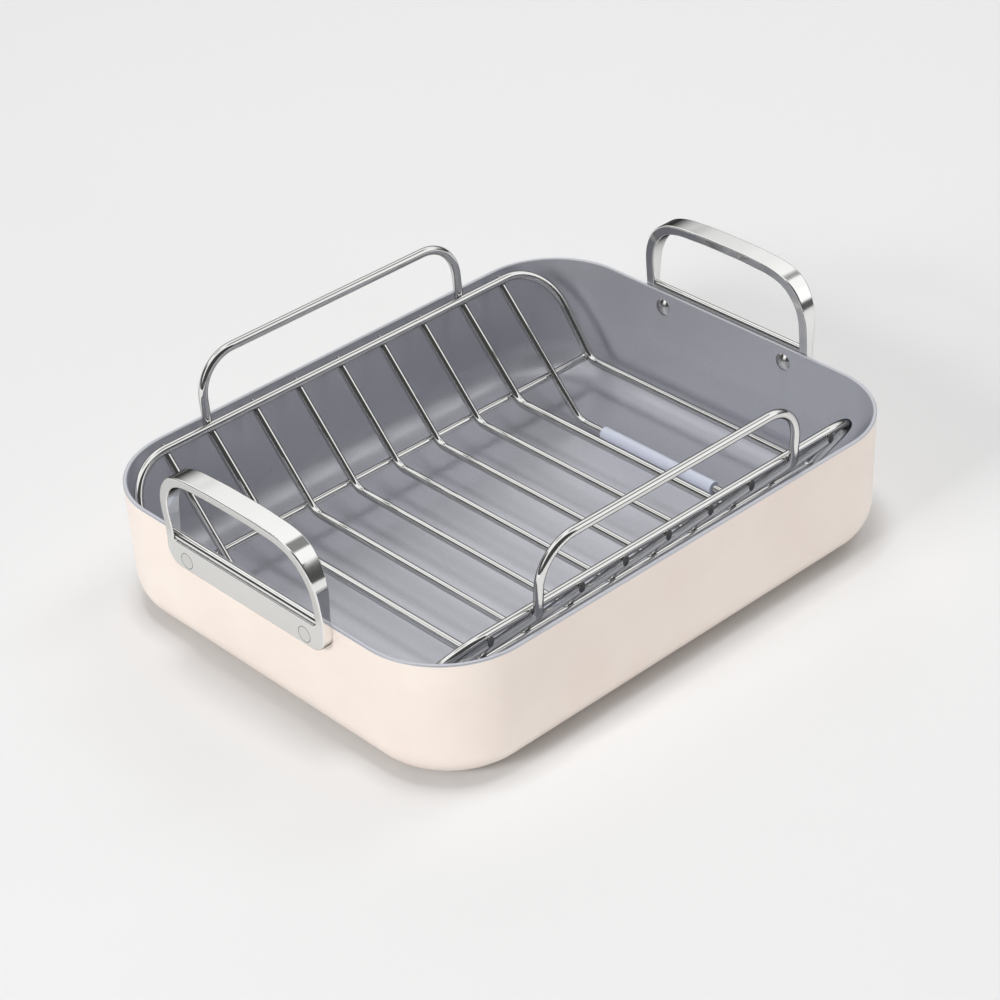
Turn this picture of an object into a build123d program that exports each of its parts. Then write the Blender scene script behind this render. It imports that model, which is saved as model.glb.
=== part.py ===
from build123d import *
import os
from math import asin, atan2, cos, hypot, sin, tan

# Roasting pan with a loose V-shaped wire rack, one STEP file for each separate piece.
# Millimetres, +Z up. X runs along the long sides and Y across them. The origin lies on the table,
# under the middle of the pan. The rack stands in the pan on two sleeved foot wires and lifts out.

# Pan body
PAN_LENGTH = 422.4
PAN_WIDTH = 338.4
PAN_HEIGHT = 92.5
PAN_CORNER_R = 62.0
PAN_EDGE_R = 26.0
WALL_DRAFT_DEG = 1.2
WALL_T = 2.2
FLOOR_T = 3.0

# Inner coating, which also laps over the rim
COATING_T = 0.6
RIM_LAP_T = 1.2
RIM_ROUND_R = 1.0

# Heat-spreading plate under the floor
PLATE_LENGTH = 320.0
PLATE_WIDTH = 236.0
PLATE_CORNER_R = 36.0
PLATE_T = 1.2
PLATE_PROUD = 0.5
PLATE_EDGE_GAP = 0.2

# Pan handles, cast loops on the short sides
HANDLE_HALF_WIDTH = 74.5
HANDLE_RISE = 58.0
HANDLE_LEG_W = 7.0
HANDLE_BAND_T = 6.4
HANDLE_PLATE_DROP = 19.0
HANDLE_PLATE_T = 6.5
HANDLE_PLATE_CORNER_R = 12.0
HANDLE_OPENING_CORNER_R = 3.0
HANDLE_PLATE_TOP_DROP = 0.5
HANDLE_LEAN_START = 4.5
HANDLE_GRIP_OUT = 13.0
HANDLE_GRIP_IN = 3.0
HANDLE_LEAN_R = 60.0
HANDLE_EDGE_R = 0.9
HANDLE_BEAD_R = 2.75
HANDLE_BEAD_RISE = 0.9
HANDLE_BEAD_OUT = 2.8
HANDLE_OUTLINE_SHARES = ((1.0, 0.28), (0.95, 0.63), (0.78, 0.89), (0.42, 0.985), (0.0, 1.0))
HANDLE_OPENING_SHARES = ((1.0, 0.34), (0.935, 0.69), (0.77, 0.905), (0.42, 0.985), (0.0, 1.0))

# Rivets, two through each handle plate
RIVET_HALF_PITCH = 56.0
RIVET_DROP = 11.5
RIVET_SHANK_R = 3.2
RIVET_HEAD_R = 5.2
RIVET_HEAD_T = 1.8
RIVET_DOME_R = 6.4
RIVET_DOME_H = 2.8
RIVET_RING_GAP = 0.35
RIVET_FIT = 0.05

# Rack wires
FRAME_WIRE_R = 3.0
CROSS_WIRE_R = 2.7
RAIL_WIRE_R = 2.6
GRIP_WIRE_R = 3.1
WELD_SINK = 0.8
WELD_BEAD_R = 3.1

# Rack layout
CROSS_WIRE_COUNT = 9
FOOT_WIRE_INSET = 39.1
RACK_SHIFT = 7.0
RACK_END_CLEARANCE = 18.9
RACK_SIDE_CLEARANCE = 16.2
TOP_RAIL_RISE = 2.4
SLOPE_INSET = 44.5
RUN_LIFT = 23.5
BEND_RAIL_LIFT = 1.5
END_RUN_DROP = 1.5
FRAME_CORNER_R = 37.0
FRAME_BEND_R = 12.0
CROSS_BEND_R = 15.0
FOOT_BEND_R = 18.0
CUT_END_OVERHANG = 1.3
RACK_HANDLE_RISE = 45.0
RACK_HANDLE_LEAN = 3.3
RACK_HANDLE_CORNER_R = 28.0
RACK_HANDLE_KNEE_R = 7.0

# Foot sleeves
SLEEVE_END_GAP = 16.0
SLEEVE_R = 4.5
SLEEVE_FIT = 0.05
REST_GAP = 0.3

# How far a cutting shape runs past what it cuts
OVERRUN = 2.0

# Worked out from the sizes above
RIM_T = WALL_T + COATING_T
BODY_BASE_Z = PLATE_PROUD
BODY_FLOOR_Z = BODY_BASE_Z + FLOOR_T
FLOOR_Z = BODY_FLOOR_Z + COATING_T
BODY_TOP_Z = PAN_HEIGHT - RIM_LAP_T
WALL_X = PAN_LENGTH / 2
RIVET_Z = PAN_HEIGHT - RIVET_DROP
RIVET_YS = (-RIVET_HALF_PITCH, RIVET_HALF_PITCH)

FRAME_HALF_LENGTH = WALL_X - RIM_T - RACK_END_CLEARANCE
WIRE_PITCH = 2 * (FRAME_HALF_LENGTH - FOOT_WIRE_INSET) / (CROSS_WIRE_COUNT - 1)
TOP_RAIL_Y = PAN_WIDTH / 2 - RIM_T - RACK_SIDE_CLEARANCE
TOP_RAIL_Z = PAN_HEIGHT + TOP_RAIL_RISE
FOOT_RUN_Z = FLOOR_Z + REST_GAP + SLEEVE_R
RUN_Z = FOOT_RUN_Z + RUN_LIFT
BEND_RAIL_Y = TOP_RAIL_Y - SLOPE_INSET
BEND_RAIL_Z = RUN_Z + BEND_RAIL_LIFT


def drafted_block(inset: float, bottom_z: float, edge_r: float) -> Part:
    """Solid block with the pan's plan shape and draft, its sides moved in by inset.

    Args:
        inset: distance from the outside of the rim.
        bottom_z: height of the block's flat underside.
        edge_r: radius between the underside and the sides.
    """
    plan = RectangleRounded(PAN_LENGTH - 2 * inset, PAN_WIDTH - 2 * inset, PAN_CORNER_R - inset)
    rim_plane = Plane(origin=(0, 0, PAN_HEIGHT), x_dir=(1, 0, 0), z_dir=(0, 0, -1))
    block = extrude(rim_plane * plan, amount=PAN_HEIGHT - bottom_z, taper=WALL_DRAFT_DEG)
    return fillet(block.faces().sort_by(Axis.Z)[0].edges(), radius=edge_r)


def slab(length: float, width: float, corner_r: float, bottom_z: float, top_z: float) -> Part:
    """Flat plate with rounded plan corners between two heights."""
    plan = RectangleRounded(length, width, corner_r)
    return extrude(Plane.XY.offset(bottom_z) * plan, amount=top_z - bottom_z)


def outer_block() -> Part:
    """The pan's whole outside as one solid block, up to the rim."""
    return drafted_block(0, BODY_BASE_Z, PAN_EDGE_R)


def body_cavity() -> Part:
    """The hollow of the bare metal body."""
    return drafted_block(WALL_T, BODY_FLOOR_Z, PAN_EDGE_R - WALL_T)


def coated_cavity() -> Part:
    """The hollow that is left inside the coating."""
    return drafted_block(RIM_T, FLOOR_Z, PAN_EDGE_R - RIM_T)


def above(z: float) -> Part:
    """A block that holds everything over one height, larger in plan than the pan."""
    height = HANDLE_RISE + PAN_HEIGHT
    block = Box(2 * PAN_LENGTH, 2 * PAN_WIDTH, height, align=(Align.CENTER, Align.CENTER, Align.MIN))
    return Pos(0, 0, z) * block


def rivet_bore(y: float, radius: float, inner_x: float, outer_x: float) -> Part:
    """Cylinder on the axis of a +X rivet, between two distances from the pan's middle."""
    rod = Cylinder(radius, outer_x - inner_x, rotation=(0, 90, 0))
    return Pos((inner_x + outer_x) / 2, y, RIVET_Z) * rod


def rivet_holes() -> Part:
    """Clearance holes for the four shanks, each pair cut through both short walls at once."""
    hole_r = RIVET_SHANK_R + RIVET_FIT
    return Part() + [rivet_bore(y, hole_r, -PAN_LENGTH, PAN_LENGTH) for y in RIVET_YS]


def pan_body() -> Part:
    """Cast body: drafted walls under the rim lap, round bottom edge, seat for the plate below."""
    seat = slab(
        PLATE_LENGTH + 2 * PLATE_EDGE_GAP,
        PLATE_WIDTH + 2 * PLATE_EDGE_GAP,
        PLATE_CORNER_R + PLATE_EDGE_GAP,
        BODY_BASE_Z - OVERRUN,
        PLATE_T,
    )
    return outer_block() - body_cavity() - above(BODY_TOP_Z) - seat - rivet_holes()


def inner_coating() -> Part:
    """Coating on floor and walls, lapped over the rim with rounded edges."""
    lining = body_cavity() - above(BODY_TOP_Z)
    rim_lap = outer_block() & above(BODY_TOP_Z)
    coating = lining + rim_lap - coated_cavity()
    coating = fillet(coating.faces().sort_by(Axis.Z)[-1].edges(), radius=RIM_ROUND_R)
    return coating - rivet_holes()


def base_plate() -> Part:
    """Steel plate let into the underside; the pan stands on it."""
    return slab(PLATE_LENGTH, PLATE_WIDTH, PLATE_CORNER_R, 0, PLATE_T)


def turned(piece: Part | Compound, side: int) -> Part | Compound:
    """A piece made for the +X side, turned half round Z for the -X side."""
    return piece if side > 0 else piece.rotate(Axis.Z, 180)


def loop_face(shares: tuple, half_width: float, rise: float, bottom_z: float, corner_r: float) -> Sketch:
    """Closed handle outline seen along X: flat bottom, straight legs, crowned top."""
    points = [(y_share * half_width, PAN_HEIGHT + z_share * rise) for y_share, z_share in shares]
    right = Spline(*points, tangents=((0, 1), (-1, 0)))
    left = mirror(right, about=Plane.YZ)
    base = Polyline(points[0], (half_width, bottom_z), (-half_width, bottom_z), left @ 0)
    face = make_face(Curve() + [right, left, base])
    return fillet(face.vertices().sort_by(Axis.Y)[:2], radius=corner_r)


def handle_depth_face() -> Sketch:
    """Handle's depth seen along Y: flat plate below, two faces that lean outward above."""
    bottom_z = PAN_HEIGHT - HANDLE_PLATE_DROP - OVERRUN
    top_z = PAN_HEIGHT + HANDLE_RISE + OVERRUN
    front_x = WALL_X + HANDLE_PLATE_T
    inner_x = WALL_X - WALL_T
    front = FilletPolyline(
        (front_x, bottom_z),
        (front_x, PAN_HEIGHT + HANDLE_LEAN_START),
        (WALL_X + HANDLE_GRIP_OUT, top_z),
        radius=HANDLE_LEAN_R,
    )
    rest = Polyline(
        front @ 1,
        (WALL_X - HANDLE_GRIP_IN, top_z),
        (WALL_X, PAN_HEIGHT),
        (inner_x, PAN_HEIGHT),
        (inner_x, bottom_z),
        front @ 0,
    )
    return make_face(Curve() + [front, rest])


def pan_handle(side: int) -> Part:
    """Cast loop handle on one short side, with a bead over the rim and two countersunk seats."""
    plate_bottom = PAN_HEIGHT - HANDLE_PLATE_DROP
    plate_top = PAN_HEIGHT - HANDLE_PLATE_TOP_DROP
    opening_half = HANDLE_HALF_WIDTH - HANDLE_LEG_W
    outline = loop_face(
        HANDLE_OUTLINE_SHARES, HANDLE_HALF_WIDTH, HANDLE_RISE, plate_bottom, HANDLE_PLATE_CORNER_R
    )
    opening = loop_face(
        HANDLE_OPENING_SHARES, opening_half, HANDLE_RISE - HANDLE_BAND_T, plate_top, HANDLE_OPENING_CORNER_R
    )
    reach = WALL_X + 2 * HANDLE_GRIP_OUT
    ring = extrude(Plane.YZ * (outline - opening), amount=reach)
    depth = extrude(Plane.XZ * handle_depth_face(), amount=2 * HANDLE_HALF_WIDTH, both=True)
    loop = ring & depth
    mid_x = WALL_X + HANDLE_PLATE_T / 2
    over_rim = PAN_HEIGHT + HANDLE_EDGE_R / 2
    rims = loop.edges().filter_by(Axis.X, reverse=True)
    rims = rims.filter_by(lambda edge: edge.center().X > mid_x or edge.center().Z > over_rim)
    loop = fillet(rims, radius=HANDLE_EDGE_R)
    bead = Cylinder(HANDLE_BEAD_R, 2 * opening_half + HANDLE_LEG_W, rotation=(90, 0, 0))
    loop += Pos(WALL_X + HANDLE_BEAD_OUT, 0, PAN_HEIGHT + HANDLE_BEAD_RISE) * bead
    loop -= outer_block()
    front_x = WALL_X + HANDLE_PLATE_T
    for y in RIVET_YS:
        loop -= rivet_bore(y, RIVET_SHANK_R + RIVET_FIT, WALL_X - RIM_T, front_x)
        loop -= rivet_bore(y, RIVET_HEAD_R + RIVET_RING_GAP, front_x - RIVET_HEAD_T, front_x + OVERRUN)
    return turned(loop, side)


def handle_rivets(side: int) -> Compound:
    """Two solid rivets: flush head in the plate, shank through the wall, domed head inside."""
    front_x = WALL_X + HANDLE_PLATE_T
    wall_x = WALL_X - RIM_T
    dome_sphere_r = (RIVET_DOME_R ** 2 + RIVET_DOME_H ** 2) / (2 * RIVET_DOME_H)
    dome_x = wall_x - RIVET_DOME_H + dome_sphere_r
    hollow = coated_cavity()
    rivets = []
    for y in RIVET_YS:
        shank = rivet_bore(y, RIVET_SHANK_R, wall_x - RIVET_DOME_H / 2, front_x - RIVET_HEAD_T / 2)
        head = rivet_bore(y, RIVET_HEAD_R, front_x - RIVET_HEAD_T, front_x)
        dome = Pos(dome_x, y, RIVET_Z) * Sphere(dome_sphere_r) & hollow
        rivets.append(shank + head + dome)
    return turned(Compound(rivets), side)


def wire(points: list, radius: float, bend_r: float | list[float], close: bool = False) -> Part:
    """Round wire along straight runs joined by tangent arcs.

    Args:
        points: corners of the path, with its two ends unless it is closed.
        radius: the wire's radius.
        bend_r: one centreline radius, or one for each corner.
        close: whether the path returns to its first point.
    """
    path = FilletPolyline(*points, radius=bend_r, close=close)
    start = path.edges()[0]
    section = Plane(origin=start @ 0, z_dir=start % 0) * Circle(radius)
    return sweep(section, path=path.wire())


def slope_line(wire_r: float) -> tuple[float, float, float, float]:
    """Centreline of a wire that runs under the top rail and over the bend rail.

    Returns:
        Y and Z of the point over the bend rail, then the line's run and rise as a unit step.
    """
    run = TOP_RAIL_Y - BEND_RAIL_Y
    rise = TOP_RAIL_Z - BEND_RAIL_Z
    below_top = FRAME_WIRE_R + wire_r - WELD_SINK
    above_bend = RAIL_WIRE_R + wire_r - WELD_SINK
    angle = atan2(rise, run) - asin((below_top + above_bend) / hypot(run, rise))
    return (
        BEND_RAIL_Y - above_bend * sin(angle),
        BEND_RAIL_Z + above_bend * cos(angle),
        cos(angle),
        sin(angle),
    )


def slope_y_at(z: float, wire_r: float) -> float:
    """Y of a wire's sloping centreline at one height."""
    y0, z0, step_y, step_z = slope_line(wire_r)
    return y0 + (z - z0) * step_y / step_z


def cross_x(number: int) -> float:
    """X of a cross wire, numbered from 1 at the left end."""
    return (number - (CROSS_WIRE_COUNT + 1) / 2) * WIRE_PITCH - RACK_SHIFT


def bent_cross_wire(number: int, run_z: float, bend_r: float) -> Part:
    """One cross wire: slope, flat run at run_z, slope, its ends trimmed upright past the rails."""
    x = cross_x(number)
    trim_y = TOP_RAIL_Y + FRAME_WIRE_R + CUT_END_OVERHANG
    end_y = trim_y + CROSS_WIRE_R * 2
    y0, z0, step_y, step_z = slope_line(CROSS_WIRE_R)
    end_z = z0 + (end_y - y0) * step_z / step_y
    run_y = slope_y_at(run_z, CROSS_WIRE_R)
    points = [(x, -end_y, end_z), (x, -run_y, run_z), (x, run_y, run_z), (x, end_y, end_z)]
    kept = Pos(x, 0, 0) * Box(4 * CROSS_WIRE_R, 2 * trim_y, 2 * (end_z + OVERRUN))
    return wire(points, CROSS_WIRE_R, bend_r) & kept


def rack_frame() -> Part:
    """Closed loop: two top rails, rounded corners, and an end run low across each end."""
    low_x, high_x = -FRAME_HALF_LENGTH - RACK_SHIFT, FRAME_HALF_LENGTH - RACK_SHIFT
    run_z = RUN_Z - END_RUN_DROP
    run_y = BEND_RAIL_Y - (BEND_RAIL_Z - run_z) * SLOPE_INSET / (TOP_RAIL_Z - BEND_RAIL_Z)
    points = [
        (low_x, TOP_RAIL_Y, TOP_RAIL_Z),
        (high_x, TOP_RAIL_Y, TOP_RAIL_Z),
        (high_x, run_y, run_z),
        (high_x, -run_y, run_z),
        (high_x, -TOP_RAIL_Y, TOP_RAIL_Z),
        (low_x, -TOP_RAIL_Y, TOP_RAIL_Z),
        (low_x, -run_y, run_z),
        (low_x, run_y, run_z),
    ]
    corners = [FRAME_CORNER_R, FRAME_CORNER_R, FRAME_BEND_R, FRAME_BEND_R]
    return wire(points, FRAME_WIRE_R, corners + corners, close=True)


def rack_handle(side: int) -> Part:
    """Thick wire of one rack handle: half runs, slopes, legs round the top rail, and the grip."""
    low_x, high_x = cross_x(2), cross_x(CROSS_WIRE_COUNT - 1)
    leg_y = TOP_RAIL_Y + FRAME_WIRE_R + GRIP_WIRE_R - WELD_SINK
    grip_y = leg_y + RACK_HANDLE_LEAN
    grip_z = TOP_RAIL_Z + RACK_HANDLE_RISE
    y0, z0, step_y, step_z = slope_line(GRIP_WIRE_R)
    knee_z = z0 + (leg_y - y0) * step_z / step_y
    run_y = slope_y_at(RUN_Z, GRIP_WIRE_R)
    half = [(0, RUN_Z), (run_y, RUN_Z), (leg_y, knee_z), (grip_y, grip_z)]
    points = [(low_x, side * y, z) for y, z in half] + [(high_x, side * y, z) for y, z in reversed(half)]
    bends = [CROSS_BEND_R, RACK_HANDLE_KNEE_R, RACK_HANDLE_CORNER_R]
    return wire(points, GRIP_WIRE_R, bends + bends[::-1])


def bend_rail(side: int) -> Part:
    """Straight rail under the cross wires' bends, with a weld bead at each end on the frame."""
    half = FRAME_HALF_LENGTH - FRAME_WIRE_R + WELD_SINK
    centre = Pos(-RACK_SHIFT, side * BEND_RAIL_Y, BEND_RAIL_Z)
    rail = Cylinder(RAIL_WIRE_R, 2 * half, rotation=(0, 90, 0))
    beads = [Pos(end * (half - WELD_BEAD_R), 0, 0) * Sphere(WELD_BEAD_R) for end in (-1, 1)]
    return centre * (rail + beads)


def foot_sleeve(number: int) -> Part:
    """Silicone tube on the flat run of a foot wire, which keeps metal off the coating."""
    step_y, step_z = slope_line(CROSS_WIRE_R)[2:]
    bend_start_y = slope_y_at(FOOT_RUN_Z, CROSS_WIRE_R) - FOOT_BEND_R * tan(atan2(step_z, step_y) / 2)
    length = 2 * (bend_start_y - SLEEVE_END_GAP)
    tube = Cylinder(SLEEVE_R, length) - Cylinder(CROSS_WIRE_R + SLEEVE_FIT, length)
    return Pos(cross_x(number), 0, FOOT_RUN_Z) * Rot(90, 0, 0) * tube


def all_nodes() -> dict[str, Part]:
    """Every node's name with its solids."""
    nodes = {
        "pan_body": pan_body(),
        "inner_coating": inner_coating(),
        "base_plate": base_plate(),
        "rack_frame": rack_frame(),
    }
    for word, side in (("left", -1), ("right", 1)):
        nodes[f"pan_handle_{word}"] = pan_handle(side)
        nodes[f"handle_rivets_{word}"] = handle_rivets(side)
    for word, side in (("near", -1), ("far", 1)):
        nodes[f"rack_handle_{word}"] = rack_handle(side)
        nodes[f"bend_rail_{word}"] = bend_rail(side)
    for number in range(3, CROSS_WIRE_COUNT - 1):
        nodes[f"cross_wire_{number}"] = bent_cross_wire(number, RUN_Z, CROSS_BEND_R)
    for word, number in (("left", 1), ("right", CROSS_WIRE_COUNT)):
        nodes[f"foot_wire_{word}"] = bent_cross_wire(number, FOOT_RUN_Z, FOOT_BEND_R)
        nodes[f"foot_sleeve_{word}"] = foot_sleeve(number)
    return nodes


def main() -> None:
    """Write one STEP file for each node."""
    os.makedirs("parts", exist_ok=True)
    for name, shape in all_nodes().items():
        export_step(shape, f"parts/{name}.step")


main()
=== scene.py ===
import logging
import math
from dataclasses import dataclass, field
from enum import Enum

import bpy
from mathutils import Matrix, Vector


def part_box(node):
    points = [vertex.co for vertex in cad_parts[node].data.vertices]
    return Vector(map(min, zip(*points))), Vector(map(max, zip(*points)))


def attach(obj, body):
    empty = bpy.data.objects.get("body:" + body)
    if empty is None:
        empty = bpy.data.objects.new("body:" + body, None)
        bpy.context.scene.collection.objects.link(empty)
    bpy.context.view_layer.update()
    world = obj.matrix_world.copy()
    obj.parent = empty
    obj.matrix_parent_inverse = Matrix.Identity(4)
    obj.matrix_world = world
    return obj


# Roasting pan with a loose wire rack. Metres, +Z up, +X along the pan's long sides.
# The solids of the frame carry the shapes. This file gives them their finishes, adds the
# small forms that belong to the finish, and lights and frames the whole.

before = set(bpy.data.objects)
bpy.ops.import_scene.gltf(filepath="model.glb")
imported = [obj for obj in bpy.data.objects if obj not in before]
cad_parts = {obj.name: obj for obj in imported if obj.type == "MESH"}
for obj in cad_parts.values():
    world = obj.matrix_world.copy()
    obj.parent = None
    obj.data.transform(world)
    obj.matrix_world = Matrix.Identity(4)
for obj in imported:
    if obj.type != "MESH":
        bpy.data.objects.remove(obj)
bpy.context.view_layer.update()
MM = 0.001
LOG = logging.getLogger("roasting_pan")

# Where a cloudy pattern counts as fully low and fully high, for values and for colours
VALUE_SPAN = (0.3, 0.7)
COLOUR_SPAN = (0.35, 0.65)


class Body(Enum):
    """The two rigid bodies of the object."""

    PAN = "pan"
    RACK = "rack"


class Side(Enum):
    """Which of the rack's two long sides a form belongs to."""

    NEAR = -1
    FAR = 1


def linear(hex_code: str) -> tuple[float, float, float, float]:
    """Turn an sRGB hex value into a linear colour.

    Args:
        hex_code: six hex digits, with or without a leading number sign.

    Returns:
        Linear red, green and blue, and an alpha of one.
    """
    # The sRGB curve: a straight line up to its knee, and a power above it
    knee, foot, offset, power = 0.04045, 12.92, 0.055, 2.4
    digits = hex_code.lstrip("#")
    values = [int(digits[i:i + 2], 16) / 255 for i in (0, 2, 4)]
    red, green, blue = [v / foot if v <= knee else ((v + offset) / (1 + offset)) ** power
                        for v in values]
    return red, green, blue, 1.0


def towards(azimuth: float, elevation: float) -> Vector:
    """Unit vector in a direction given in degrees; azimuth 0 is +X and 90 is +Y."""
    turn, lift = math.radians(azimuth), math.radians(elevation)
    return Vector((math.cos(turn) * math.cos(lift), math.sin(turn) * math.cos(lift), math.sin(lift)))


def add_node(tree: bpy.types.NodeTree, kind: str, settings: dict | None = None,
             links: dict | None = None) -> bpy.types.Node:
    """Add one node with its settings and its incoming links.

    Args:
        tree: the node tree that gets the node.
        kind: the node's type name.
        settings: values by property name, or by input name or number.
        links: output sockets by the input name or number they feed.

    Returns:
        The new node.
    """
    node = tree.nodes.new(kind)
    for name, value in (settings or {}).items():
        if isinstance(name, str) and hasattr(node, name):
            setattr(node, name, value)
        else:
            node.inputs[name].default_value = value
    for name, socket in (links or {}).items():
        tree.links.new(socket, node.inputs[name])
    return node


@dataclass(frozen=True)
class Finish:
    """One real material with the way its surface was made.

    Sizes of patterns are real lengths in metres.
    """

    name: str
    colour: str
    roughness: float
    metallic: float = 0.0

    def material(self) -> bpy.types.Material:
        """Build the material, or return it if it is built already.

        Returns:
            The material, which every piece with this finish shares.
        """
        known = bpy.data.materials.get(self.name)
        if known:
            return known
        made = bpy.data.materials.new(self.name)
        made.use_nodes = True
        tree = made.node_tree
        shader = tree.nodes["Principled BSDF"]
        shader.inputs["Base Color"].default_value = linear(self.colour)
        shader.inputs["Roughness"].default_value = self.roughness
        shader.inputs["Metallic"].default_value = self.metallic
        place = add_node(tree, "ShaderNodeTexCoord").outputs["Object"]
        self.dress(tree, shader, place)
        return made

    def dress(self, tree: bpy.types.NodeTree, shader: bpy.types.Node,
              place: bpy.types.NodeSocket) -> None:
        """Add the finish's own pattern; a plain finish has none."""

    @staticmethod
    def pattern(tree: bpy.types.NodeTree, place: bpy.types.NodeSocket, grain: float,
                stretch: tuple[float, float, float] = (1.0, 1.0, 1.0),
                detail: float = 2.0) -> bpy.types.NodeSocket:
        """Cloudy pattern with one grain size.

        Args:
            tree: the node tree.
            place: coordinates in metres.
            grain: size of one grain in metres.
            stretch: how much longer a grain is along each axis.
            detail: how many finer layers are added.

        Returns:
            Socket with values around one half.
        """
        scale = tuple(1 / (grain * longer) for longer in stretch)
        mapped = add_node(tree, "ShaderNodeMapping", {"Scale": scale}, {"Vector": place})
        noise = add_node(tree, "ShaderNodeTexNoise", {"Scale": 1.0, "Detail": detail},
                         {"Vector": mapped.outputs["Vector"]})
        return noise.outputs["Fac"]

    @staticmethod
    def spread(tree: bpy.types.NodeTree, value: bpy.types.NodeSocket, low: float,
               high: float) -> bpy.types.NodeSocket:
        """Map a cloudy pattern onto a range of values.

        Args:
            tree: the node tree.
            value: the pattern.
            low: result where the pattern is low.
            high: result where the pattern is high.

        Returns:
            Socket with values from low to high.
        """
        limits = {"From Min": VALUE_SPAN[0], "From Max": VALUE_SPAN[1], "To Min": low, "To Max": high}
        mapped = add_node(tree, "ShaderNodeMapRange", limits, {"Value": value})
        return mapped.outputs["Result"]

    @staticmethod
    def tint(tree: bpy.types.NodeTree, value: bpy.types.NodeSocket, low: str,
             high: str) -> bpy.types.NodeSocket:
        """Blend two colours by a cloudy pattern.

        Args:
            tree: the node tree.
            value: the pattern.
            low: sRGB hex colour where the pattern is low.
            high: sRGB hex colour where the pattern is high.

        Returns:
            Socket with the blended colour.
        """
        ramp = add_node(tree, "ShaderNodeValToRGB", links={"Fac": value})
        for stop, position, colour in zip(ramp.color_ramp.elements, COLOUR_SPAN, (low, high)):
            stop.position = position
            stop.color = linear(colour)
        return ramp.outputs["Color"]

    @staticmethod
    def relief(tree: bpy.types.NodeTree, shader: bpy.types.Node, height: bpy.types.NodeSocket,
               depth: float, strength: float) -> None:
        """Raise and lower the surface by a pattern, depth in metres."""
        bump = add_node(tree, "ShaderNodeBump", {"Strength": strength, "Distance": depth},
                        {"Height": height})
        tree.links.new(bump.outputs["Normal"], shader.inputs["Normal"])


@dataclass(frozen=True)
class GlazedCeramic(Finish):
    """Sprayed and baked ceramic coat: satin, with the faint orange peel of a sprayed film."""

    shade: str = "#F3E5DB"
    cloud: float = 60 * MM
    cloud_detail: float = 3.0
    peel: float = 1.4 * MM
    peel_depth: float = 0.05 * MM
    peel_strength: float = 0.12
    gloss: float = 0.25
    gloss_roughness: float = 0.18

    def dress(self, tree: bpy.types.NodeTree, shader: bpy.types.Node,
              place: bpy.types.NodeSocket) -> None:
        """Add uneven film thickness, peel and a clear top gloss.

        Args:
            tree: the material's node tree.
            shader: the material's surface.
            place: coordinates in metres.
        """
        cloud = self.pattern(tree, place, self.cloud, detail=self.cloud_detail)
        tree.links.new(self.tint(tree, cloud, self.shade, self.colour), shader.inputs["Base Color"])
        peel = self.pattern(tree, place, self.peel)
        self.relief(tree, shader, peel, self.peel_depth, self.peel_strength)
        shader.inputs["Coat Weight"].default_value = self.gloss
        shader.inputs["Coat Roughness"].default_value = self.gloss_roughness


@dataclass(frozen=True)
class CeramicNonstick(Finish):
    """Sprayed non-stick coat with mineral flake: smooth, half metallic, softly mirroring.

    Its roughness stays above 0.275 everywhere, because the denoiser draws thin lines where a
    surface crosses that value. The flake is drawn twice as coarse as real so that it shows.
    """

    dark_flake: str = "#C3C4CB"
    flake: float = 0.9 * MM
    flake_detail: float = 1.0
    peel: float = 1.6 * MM
    peel_depth: float = 0.05 * MM
    peel_strength: float = 0.06
    cloud: float = 45 * MM
    gloss_swing: float = 0.03

    def dress(self, tree: bpy.types.NodeTree, shader: bpy.types.Node,
              place: bpy.types.NodeSocket) -> None:
        """Add flake, a film of uneven gloss, and the peel of the spray.

        Args:
            tree: the material's node tree.
            shader: the material's surface.
            place: coordinates in metres.
        """
        flake = self.pattern(tree, place, self.flake, detail=self.flake_detail)
        tree.links.new(self.tint(tree, flake, self.dark_flake, self.colour),
                       shader.inputs["Base Color"])
        cloud = self.pattern(tree, place, self.cloud)
        gloss = self.spread(tree, cloud, self.roughness - self.gloss_swing,
                            self.roughness + self.gloss_swing)
        tree.links.new(gloss, shader.inputs["Roughness"])
        peel = self.pattern(tree, place, self.peel)
        self.relief(tree, shader, peel, self.peel_depth, self.peel_strength)


@dataclass(frozen=True)
class PolishedWire(Finish):
    """Drawn stainless wire, electropolished: nearly a mirror, with faint haze.

    The edge is the colour of a mirror image at a grazing angle, kept far darker than real steel:
    a painted dark reflection that gives thin wires their dark outlines.
    """

    # Painted dark reflection: far darker at grazing angles than real steel, for dark outlines
    edge: str = "#404040"
    haze: float = 7 * MM
    haze_detail: float = 3.0
    haze_swing: float = 0.03
    mark: float = 0.5 * MM
    mark_depth: float = 0.01 * MM
    mark_strength: float = 0.03

    def dress(self, tree: bpy.types.NodeTree, shader: bpy.types.Node,
              place: bpy.types.NodeSocket) -> None:
        """Add haze that comes and goes along the wire, and the last of the drawing marks.

        Args:
            tree: the material's node tree.
            shader: the material's surface.
            place: coordinates in metres.
        """
        # Painted dark reflection: the dark edge tint darkens grazing mirror images into dark outlines
        shader.inputs["Specular Tint"].default_value = linear(self.edge)
        haze = self.pattern(tree, place, self.haze, detail=self.haze_detail)
        tree.links.new(self.spread(tree, haze, self.roughness, self.roughness + self.haze_swing),
                       shader.inputs["Roughness"])
        marks = self.pattern(tree, place, self.mark)
        self.relief(tree, shader, marks, self.mark_depth, self.mark_strength)


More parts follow.
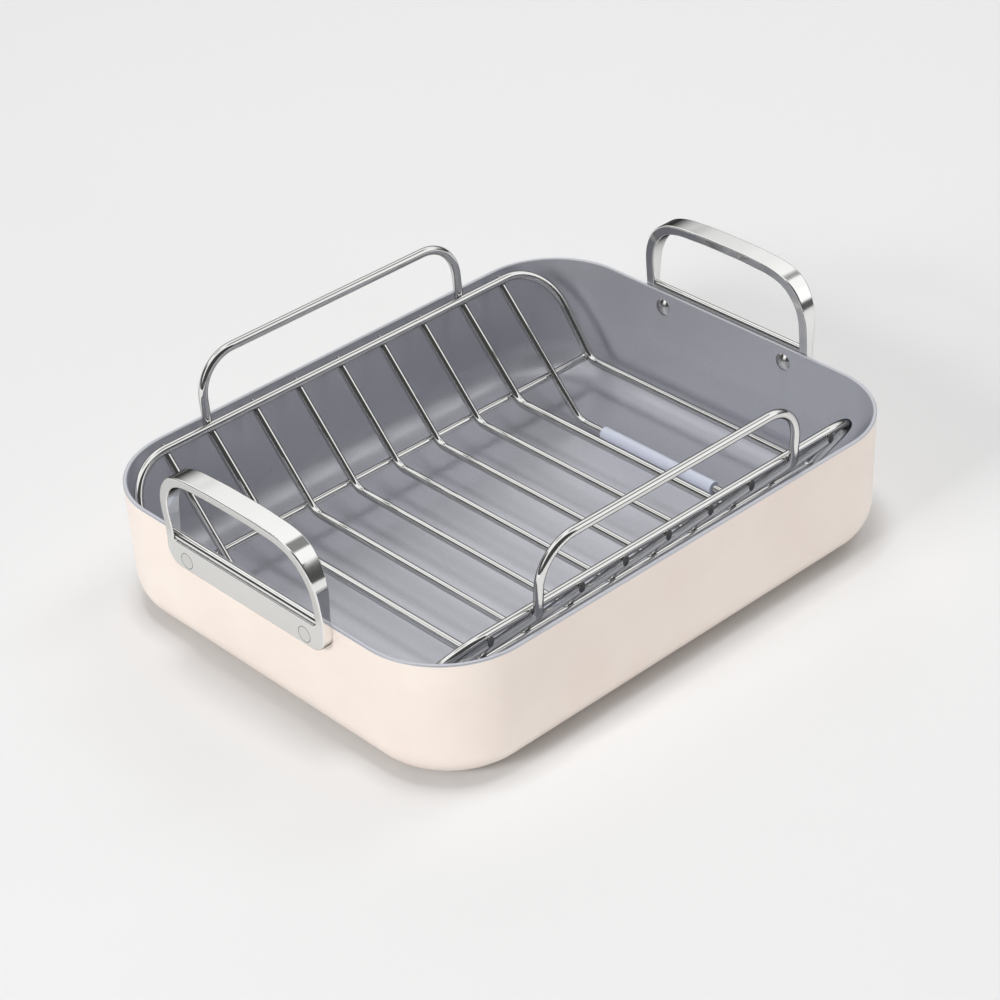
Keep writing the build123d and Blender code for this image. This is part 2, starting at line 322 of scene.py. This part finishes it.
@dataclass(frozen=True)
class PolishedCasting(Finish):
    """Cast stainless steel, belt polished along the loop: soft mirror, fine lines, slow waves."""

    # Painted dark reflection: far darker at grazing angles than real steel, for dark outlines
    edge: str = "#303030"
    line: float = 0.45 * MM
    line_stretch: float = 40.0
    line_share: float = 0.06
    smoother: float = 0.02
    rougher: float = 0.04
    wave: float = 16 * MM
    wave_depth: float = 0.25 * MM
    wave_strength: float = 0.15

    def dress(self, tree: bpy.types.NodeTree, shader: bpy.types.Node,
              place: bpy.types.NodeSocket) -> None:
        """Add polishing lines that run across the pan's width, and the waves of a casting.

        Args:
            tree: the material's node tree.
            shader: the material's surface.
            place: coordinates in metres.
        """
        # Painted dark reflection: the dark edge tint darkens grazing mirror images on handles and
        # rivets
        shader.inputs["Specular Tint"].default_value = linear(self.edge)
        lines = self.pattern(tree, place, self.line, stretch=(1.0, self.line_stretch, 1.0))
        tree.links.new(self.spread(tree, lines, self.roughness - self.smoother,
                                   self.roughness + self.rougher), shader.inputs["Roughness"])
        waves = self.pattern(tree, place, self.wave)
        mixed = add_node(tree, "ShaderNodeMath", {"operation": "MULTIPLY_ADD", 1: self.line_share},
                         {0: lines, 2: waves})
        self.relief(tree, shader, mixed.outputs["Value"], self.wave_depth, self.wave_strength)


@dataclass(frozen=True)
class BrushedSheet(Finish):
    """Stainless sheet, brushed in circles on a turning table: dull rings round the middle."""

    line: float = 0.6 * MM
    line_detail: float = 3.0
    line_depth: float = 0.04 * MM
    line_strength: float = 0.3
    smoother: float = 0.04
    rougher: float = 0.1

    def dress(self, tree: bpy.types.NodeTree, shader: bpy.types.Node,
              place: bpy.types.NodeSocket) -> None:
        """Add rings round the plate's middle.

        Args:
            tree: the material's node tree.
            shader: the material's surface.
            place: coordinates in metres.
        """
        flat = add_node(tree, "ShaderNodeVectorMath", {"operation": "MULTIPLY", 1: (1.0, 1.0, 0.0)},
                        {0: place})
        out = add_node(tree, "ShaderNodeVectorMath", {"operation": "LENGTH"},
                       {0: flat.outputs["Vector"]})
        ring = add_node(tree, "ShaderNodeCombineXYZ", links={"X": out.outputs["Value"]})
        rings = self.pattern(tree, ring.outputs["Vector"], self.line, detail=self.line_detail)
        tree.links.new(self.spread(tree, rings, self.roughness - self.smoother,
                                   self.roughness + self.rougher), shader.inputs["Roughness"])
        self.relief(tree, shader, rings, self.line_depth, self.line_strength)


@dataclass(frozen=True)
class SiliconeTube(Finish):
    """Extruded clear silicone: milky, satin, with long faint lines from the die."""

    line: float = 0.7 * MM
    line_stretch: float = 30.0
    line_depth: float = 0.05 * MM
    line_strength: float = 0.25
    gloss_swing: float = 0.04
    clearness: float = 0.12
    refraction: float = 1.41

    def dress(self, tree: bpy.types.NodeTree, shader: bpy.types.Node,
              place: bpy.types.NodeSocket) -> None:
        """Add the die's lines along the tube and let light through.

        Args:
            tree: the material's node tree.
            shader: the material's surface.
            place: coordinates in metres.
        """
        lines = self.pattern(tree, place, self.line, stretch=(1.0, self.line_stretch, 1.0))
        self.relief(tree, shader, lines, self.line_depth, self.line_strength)
        tree.links.new(self.spread(tree, lines, self.roughness - self.gloss_swing,
                                   self.roughness + self.gloss_swing), shader.inputs["Roughness"])
        shader.inputs["Transmission Weight"].default_value = self.clearness
        shader.inputs["IOR"].default_value = self.refraction


@dataclass(frozen=True)
class ShearedSteel(Finish):
    """Stainless wire end as the shears left it: dark, dull, torn in fine steps."""

    dark: str = "#626263"
    tear: float = 0.5 * MM
    tear_stretch: float = 3.0
    tear_detail: float = 3.0
    tear_depth: float = 0.12 * MM
    tear_strength: float = 0.5

    def dress(self, tree: bpy.types.NodeTree, shader: bpy.types.Node,
              place: bpy.types.NodeSocket) -> None:
        """Add torn steps across the wire and patches of bright and dull metal.

        Args:
            tree: the material's node tree.
            shader: the material's surface.
            place: coordinates in metres.
        """
        steps = self.pattern(tree, place, self.tear, stretch=(self.tear_stretch, 1.0, 1.0),
                             detail=self.tear_detail)
        tree.links.new(self.tint(tree, steps, self.dark, self.colour), shader.inputs["Base Color"])
        self.relief(tree, shader, steps, self.tear_depth, self.tear_strength)


@dataclass
class FinishedNodes:
    """CAD nodes of one body that keep their shape and get a finish."""

    finish: Finish
    body: Body
    nodes: list[str]

    def build(self) -> None:
        """Put the finish in every node's material slot."""
        material = self.finish.material()
        for name in self.nodes:
            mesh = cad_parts[name].data
            mesh.materials.clear()
            mesh.materials.append(material)
            LOG.info("%s: %s dressed in %s", self.body.value, name, self.finish.name)


def joined_copies(form: bpy.types.Object, places: list[Matrix]) -> bpy.types.Object:
    """Copy a small form to many places and join the copies.

    Args:
        form: the form, modelled round the origin. It is removed afterwards.
        places: where each copy sits.

    Returns:
        The joined copies as one object, at the origin and unturned.
    """
    copies = []
    for place in places:
        copy = bpy.data.objects.new("copy", form.data.copy())
        copy.data.transform(place)
        bpy.context.scene.collection.objects.link(copy)
        copies.append(copy)
    bpy.data.objects.remove(form)
    bpy.ops.object.select_all(action="DESELECT")
    for copy in copies:
        copy.select_set(True)
    bpy.context.view_layer.objects.active = copies[0]
    bpy.ops.object.join()
    return bpy.context.object


@dataclass
class ShearedEnds:
    """Cut ends of the cross and foot wires outside the top rails.

    Each is an upright oval with a rolled edge, because an upright cut runs across a sloping wire.
    """

    finish: Finish
    slope: float
    wire_r: float = 2.7 * MM
    thickness: float = 0.16 * MM
    rolled_r: float = 0.12 * MM
    edge_inset: float = 0.12 * MM
    sides: int = 40
    rolled_segments: int = 3
    smooth_below: float = math.radians(35)

    def oval(self) -> bpy.types.Object:
        """Model one end round the origin, its flat side across Y.

        Returns:
            The end, still to be copied.
        """
        bpy.ops.object.select_all(action="DESELECT")
        bpy.ops.mesh.primitive_cylinder_add(vertices=self.sides, radius=self.wire_r - self.edge_inset,
                                            depth=2 * self.thickness)
        disc = bpy.context.object
        bpy.ops.object.mode_set(mode="EDIT")
        bpy.ops.mesh.select_all(action="SELECT")
        bpy.ops.transform.rotate(value=math.pi / 2, orient_axis="X", center_override=(0, 0, 0))
        bpy.ops.transform.resize(value=(1.0, 1.0, 1 / math.cos(self.slope)))
        bpy.ops.object.mode_set(mode="OBJECT")
        rolled = disc.modifiers.new("rolled_edge", "BEVEL")
        rolled.width = self.rolled_r
        rolled.segments = self.rolled_segments
        bpy.ops.object.modifier_apply(modifier=rolled.name)
        bpy.ops.object.shade_smooth_by_angle(angle=self.smooth_below)
        return disc

    def places(self) -> list[Matrix]:
        """Find both ends of every wire that is cut off under the top rails.

        Returns:
            Where each oval sits, a little proud of the cut.
        """
        found = []
        inward = self.thickness - self.edge_inset / 2
        for name in sorted(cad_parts):
            if not name.startswith(("cross_wire", "foot_wire")):
                continue
            low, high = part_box(name)
            height = high.z - self.wire_r / math.cos(self.slope)
            for y in (low.y, high.y):
                place = Vector(((low.x + high.x) / 2, y - math.copysign(inward, y), height))
                found.append(Matrix.Translation(place))
        return found

    def build(self) -> bpy.types.Object:
        """Put an oval on both ends of every such wire, with the finish on it.

        Returns:
            The piece with all ends.
        """
        places = self.places()
        joined = joined_copies(self.oval(), places)
        joined.name = "rack_sheared_ends"
        joined.data.materials.append(self.finish.material())
        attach(joined, Body.RACK.value)
        LOG.info("%s: %d ends", joined.name, len(places))
        return joined


@dataclass
class WeldNuggets:
    """Squeezed-out metal where the wires cross the rails, one small lens for each weld."""

    finish: Finish
    frame_wire_r: float = 3.0 * MM
    cross_wire_r: float = 2.7 * MM
    rail_wire_r: float = 2.6 * MM
    grip_wire_r: float = 3.1 * MM
    sink: float = 0.8 * MM
    half_length: float = 4.3 * MM
    half_width: float = 2.1 * MM
    half_height: float = 1.5 * MM
    segments: int = 20
    rings: int = 10
    waist: tuple[float, float, float] = (1.0, 0.8, 0.9)

    def slope(self, wire_r: float) -> float:
        """Angle of a wire that runs under the top rail and over the bend rail.

        Args:
            wire_r: the wire's radius.

        Returns:
            The angle in radians.
        """
        top_y, top_z = self.top_rail()
        bend_y, bend_z = self.bend_rail()
        run, rise = top_y - bend_y, top_z - bend_z
        apart = self.frame_wire_r + self.rail_wire_r + 2 * (wire_r - self.sink)
        return math.atan2(rise, run) - math.asin(apart / math.hypot(run, rise))

    def top_rail(self) -> tuple[float, float]:
        """Distance from the middle plane and height of a top rail's centreline."""
        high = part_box("rack_frame")[1]
        return high.y - self.frame_wire_r, high.z - self.frame_wire_r

    def bend_rail(self) -> tuple[float, float]:
        """Distance from the middle plane and height of a bend rail's centreline."""
        low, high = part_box("bend_rail_far")
        return (low.y + high.y) / 2, (low.z + high.z) / 2

    def crossings(self) -> list[tuple[float, float]]:
        """Find the wires that cross the rails.

        Returns:
            X and radius of every such wire.
        """
        found = []
        for name in sorted(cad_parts):
            if name.startswith(("cross_wire", "foot_wire")):
                low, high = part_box(name)
                found.append(((low.x + high.x) / 2, self.cross_wire_r))
        low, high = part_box("rack_handle_far")
        found.append((low.x + self.grip_wire_r, self.grip_wire_r))
        found.append((high.x - self.grip_wire_r, self.grip_wire_r))
        return found

    def lens(self) -> bpy.types.Object:
        """Model one nugget round the origin: a sphere flattened and pinched where the wires press.

        Returns:
            The nugget, still to be copied.
        """
        bpy.ops.object.select_all(action="DESELECT")
        bpy.ops.mesh.primitive_uv_sphere_add(segments=self.segments, ring_count=self.rings,
                                             radius=self.half_width)
        nugget = bpy.context.object
        bpy.ops.object.mode_set(mode="EDIT")
        bpy.ops.transform.resize(value=(self.half_length / self.half_width, 1.0,
                                        self.half_height / self.half_width))
        bpy.ops.object.mode_set(mode="OBJECT")
        # Only the middle third is pinched
        for vertex in nugget.data.vertices:
            vertex.select = abs(vertex.co.x) < self.half_length / 3
        bpy.ops.object.mode_set(mode="EDIT")
        bpy.ops.transform.resize(value=self.waist)
        bpy.ops.object.mode_set(mode="OBJECT")
        bpy.ops.object.shade_smooth()
        return nugget

    def places(self) -> list[Matrix]:
        """Find every weld of a crossing wire, at the top rail and at the bend rail.

        Returns:
            Where each nugget sits: X along the rail, Z from the rail towards the wire.
        """
        found = []
        top_y, top_z = self.top_rail()
        bend_y, bend_z = self.bend_rail()
        along = Vector((1, 0, 0))
        for x, wire_r in self.crossings():
            angle = self.slope(wire_r)
            for side in Side:
                away = Vector((0, side.value * math.sin(angle), -math.cos(angle)))
                top = Vector((x, side.value * top_y, top_z))
                low = Vector((x, side.value * bend_y, bend_z))
                top += away * (self.frame_wire_r - self.sink / 2)
                low -= away * (self.rail_wire_r - self.sink / 2)
                for place, normal in ((top, away), (low, -away)):
                    turn = Matrix((along, normal.cross(along), normal)).transposed().to_4x4()
                    found.append(Matrix.Translation(place) @ turn)
        return found

    def build(self) -> bpy.types.Object:
        """Copy the lens to every weld, with the finish on it.

        Returns:
            The piece with all nuggets.
        """
        places = self.places()
        joined = joined_copies(self.lens(), places)
        joined.name = "rack_weld_nuggets"
        joined.data.materials.append(self.finish.material())
        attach(joined, Body.RACK.value)
        LOG.info("%s: %d welds", joined.name, len(places))
        return joined


@dataclass(frozen=True)
class Card:
    """A round card that the metal mirrors, given by its direction from the object.

    The core is the share of its half angle that has the full level. Outside it the card fades.
    """

    azimuth: float
    elevation: float
    half_angle: float
    level: float
    core: float = 0.6

    def direction(self) -> tuple[float, float, float]:
        """Unit vector towards the card; azimuth 0 is +X and 90 is +Y."""
        return tuple(towards(self.azimuth, self.elevation))


@dataclass(frozen=True)
class Softbox:
    """A square lamp that faces the object, in degrees and metres.

    The share is the part of full white that it gives a surface that faces it.
    """

    name: str
    azimuth: float
    elevation: float
    distance: float
    size: float
    share: float

    def build(self) -> None:
        """Add the lamp, unseen by the camera and by the metal."""
        way = towards(self.azimuth, self.elevation)
        lamp = bpy.data.lights.new(self.name, "AREA")
        lamp.shape = "SQUARE"
        lamp.size = self.size
        # At a distance d, pi^2 d^2 watts light a surface that faces the lamp to full white
        lamp.energy = self.share * math.pi ** 2 * self.distance ** 2
        holder = bpy.data.objects.new(self.name, lamp)
        holder.location = way * self.distance
        holder.rotation_mode = "QUATERNION"
        holder.rotation_quaternion = way.to_track_quat("Z", "Y")
        holder.visible_camera = False
        holder.visible_glossy = False
        bpy.context.scene.collection.objects.link(holder)
        LOG.info("lamp %s", self.name)


@dataclass
class Studio:
    """Pale floor, soft lamps, and the room that the metal mirrors.

    The room is dark at the horizon and pale above it, as round a lit table in a studio. The
    overhead lamp drops the wires' shadows onto the floor, and the others soften them and light
    the walls. Levels are shares of full white, and angles are in degrees.
    """

    floor_size: float = 24.0
    floor_colour: str = "#E6E6E6"
    floor_roughness: float = 0.9
    floor_sheen: float = 0.1
    background: float = 0.88
    ceiling: float = 1.02
    horizon: float = 0.1
    horizon_top: float = 6.0
    ceiling_start: float = 32.0
    fill: float = 0.3
    boxes: list[Softbox] = field(default_factory=lambda: [
        Softbox("high_from_right", -22.0, 65.0, 4.5, 1.7, 0.1),
        Softbox("low_from_right", -8.0, 44.0, 4.5, 1.5, 0.1),
        Softbox("overhead", 180.0, 87.0, 4.5, 1.1, 0.37),
        Softbox("back_wash", 50.0, 32.0, 3.0, 1.4, 0.1),
        Softbox("left_fill", 180.0, 26.0, 4.5, 1.3, 0.5),
        Softbox("front_fill", -80.0, 6.0, 3.0, 0.6, 0.17),
    ])
    cards: list[Card] = field(default_factory=lambda: [
        Card(-42.0, 20.0, 14.0, 1.1),
        Card(-114.0, 18.0, 57.0, 0.06, 0.92),
        Card(-4.0, 60.0, 16.0, 0.25),
        Card(138.0, 22.0, 24.0, 0.06),
        Card(95.0, 60.0, 12.0, 0.3),
    ])

    def build(self) -> None:
        """Build floor, world and lamps."""
        self.floor()
        self.world()
        for box in self.boxes:
            box.build()

    def floor(self) -> bpy.types.Object:
        """Lay the floor.

        Returns:
            The floor, which is stage and not part of the object.
        """
        bpy.ops.object.select_all(action="DESELECT")
        bpy.ops.mesh.primitive_plane_add(size=self.floor_size)
        floor = bpy.context.object
        floor.name = "studio_floor"
        paper = bpy.data.materials.new("studio_paper")
        paper.use_nodes = True
        shader = paper.node_tree.nodes["Principled BSDF"]
        shader.inputs["Base Color"].default_value = linear(self.floor_colour)
        shader.inputs["Roughness"].default_value = self.floor_roughness
        shader.inputs["Specular IOR Level"].default_value = self.floor_sheen
        floor.data.materials.append(paper)
        return floor

    def room(self, tree: bpy.types.NodeTree) -> bpy.types.NodeSocket:
        """Draw the room by direction: horizon, ceiling, then the cards.

        Args:
            tree: the world's node tree.

        Returns:
            Socket with the grey level.
        """
        look = add_node(tree, "ShaderNodeTexCoord").outputs["Generated"]
        height = add_node(tree, "ShaderNodeSeparateXYZ", links={"Vector": look}).outputs["Z"]
        low, high = (math.sin(math.radians(a)) for a in (self.horizon_top, self.ceiling_start))
        level = add_node(tree, "ShaderNodeMapRange", {
            "interpolation_type": "SMOOTHSTEP", "From Min": low, "From Max": high,
            "To Min": self.horizon, "To Max": self.ceiling}, {"Value": height}).outputs["Result"]
        for card in self.cards:
            dot = add_node(tree, "ShaderNodeVectorMath",
                           {"operation": "DOT_PRODUCT", 1: card.direction()}, {0: look})
            edge, inner = (math.cos(math.radians(card.half_angle * s)) for s in (1.0, card.core))
            cover = add_node(tree, "ShaderNodeMapRange", {
                "interpolation_type": "SMOOTHSTEP", "From Min": edge, "From Max": inner},
                {"Value": dot.outputs["Value"]})
            level = add_node(tree, "ShaderNodeMix", {"data_type": "FLOAT", 3: card.level},
                             {0: cover.outputs["Result"], 2: level}).outputs[0]
        return level

    def world(self) -> None:
        """Give diffuse surfaces an even fill, the camera a pale background, and metal the room."""
        world = bpy.data.worlds.new("studio_world")
        bpy.context.scene.world = world
        world.use_nodes = True
        tree = world.node_tree
        tree.nodes.clear()
        mirrored = add_node(tree, "ShaderNodeBackground", {"Strength": 1.0},
                            {"Color": self.room(tree)})
        fill = add_node(tree, "ShaderNodeBackground",
                        {"Color": (1, 1, 1, 1), "Strength": self.fill})
        backdrop = add_node(tree, "ShaderNodeBackground",
                            {"Color": (1, 1, 1, 1), "Strength": self.background})
        path = add_node(tree, "ShaderNodeLightPath")
        sharp = add_node(tree, "ShaderNodeMath", {"operation": "MAXIMUM"},
                         {0: path.outputs["Is Glossy Ray"], 1: path.outputs["Is Transmission Ray"]})
        lit = add_node(tree, "ShaderNodeMixShader", links={
            0: sharp.outputs["Value"], 1: fill.outputs["Background"],
            2: mirrored.outputs["Background"]})
        seen = add_node(tree, "ShaderNodeMixShader", links={
            0: path.outputs["Is Camera Ray"], 1: lit.outputs["Shader"],
            2: backdrop.outputs["Background"]})
        add_node(tree, "ShaderNodeOutputWorld", links={"Surface": seen.outputs["Shader"]})


@dataclass(frozen=True)
class PhotoCamera:
    """Camera at the photograph's viewing angle: degrees and metres, with the lens in millimetres."""

    azimuth: float = -42.01
    elevation: float = 33.42
    roll: float = -2.96
    place: tuple[float, float, float] = (-1.0537, -1.1639, 1.0817)
    lens: float = 103.29
    sensor_width: float = 36.0
    clip_start: float = 0.01

    def build(self) -> None:
        """Add the camera and make it the scene's own."""
        turn, lift, roll = (math.radians(v) for v in (self.azimuth, self.elevation, self.roll))
        back = Vector((math.sin(turn) * math.cos(lift), -math.cos(turn) * math.cos(lift),
                       math.sin(lift)))
        right = Vector((math.cos(turn), math.sin(turn), 0))
        up = back.cross(right)
        rolled_right = math.cos(roll) * right + math.sin(roll) * up
        rolled_up = math.cos(roll) * up - math.sin(roll) * right
        data = bpy.data.cameras.new("photo_camera")
        data.lens = self.lens
        data.sensor_width = self.sensor_width
        data.clip_start = self.clip_start
        camera = bpy.data.objects.new("photo_camera", data)
        turned = Matrix((rolled_right, rolled_up, back)).transposed().to_4x4()
        camera.matrix_world = Matrix.Translation(Vector(self.place)) @ turned
        bpy.context.scene.collection.objects.link(camera)
        bpy.context.scene.camera = camera


def main() -> None:
    """Dress the pan and the rack, then light and frame them."""
    logging.basicConfig(level=logging.INFO, format="%(message)s")
    bpy.context.scene.view_settings.view_transform = "Standard"
    wires = [f"cross_wire_{number}" for number in range(3, 8)]
    wires += ["rack_frame", "bend_rail_near", "bend_rail_far", "rack_handle_near",
              "rack_handle_far", "foot_wire_left", "foot_wire_right"]

    # Sprayed and baked: a warm, even satin
    cream = GlazedCeramic("ceramic_coat_cream", "#F7EBE1", roughness=0.34)
    # Sprayed with flake in it: a cool grey that softly mirrors walls and wires
    grey = CeramicNonstick("ceramic_nonstick_grey", "#C9CAD1", roughness=0.31, metallic=0.5)
    # Brushed in circles: dull rings, seen only from below
    sheet = BrushedSheet("stainless_sheet_brushed", "#C2C1BE", roughness=0.32, metallic=1.0)
    # Cast and belt polished: bright bands with soft, slightly wavy edges
    casting = PolishedCasting("stainless_casting_belt_polished", "#F6F6F4", roughness=0.08,
                              metallic=1.0)
    # Polished like the handles: flush heads outside, small domes with one bright spot inside
    rivet = PolishedCasting("stainless_rivet_polished", "#F2F1EE", roughness=0.09, metallic=1.0)
    # Electropolished: a sharp light line, and two dark edges of painted dark reflection on every wire
    wire = PolishedWire("stainless_wire_electropolished", "#E9E9E7", roughness=0.035, metallic=1.0)
    # Extruded: a milky blue-white tube with a long soft highlight
    silicone = SiliconeTube("silicone_tube_clear", "#E9EEFD", roughness=0.22)
    # Sheared and left: a dark dull dot under the rail at both ends of every cross wire
    sheared = ShearedSteel("stainless_wire_sheared", "#868687", roughness=0.42, metallic=0.5)

    groups = [
        FinishedNodes(cream, Body.PAN, ["pan_body"]),
        FinishedNodes(grey, Body.PAN, ["inner_coating"]),
        FinishedNodes(sheet, Body.PAN, ["base_plate"]),
        FinishedNodes(casting, Body.PAN, ["pan_handle_left", "pan_handle_right"]),
        FinishedNodes(rivet, Body.PAN, ["handle_rivets_left", "handle_rivets_right"]),
        FinishedNodes(wire, Body.RACK, wires),
        FinishedNodes(silicone, Body.RACK, ["foot_sleeve_left", "foot_sleeve_right"]),
    ]
    for group in groups:
        group.build()
    welds = WeldNuggets(wire)
    welds.build()
    ShearedEnds(sheared, welds.slope(welds.cross_wire_r)).build()
    Studio().build()
    PhotoCamera().build()


if __name__ == "__main__":
    main()
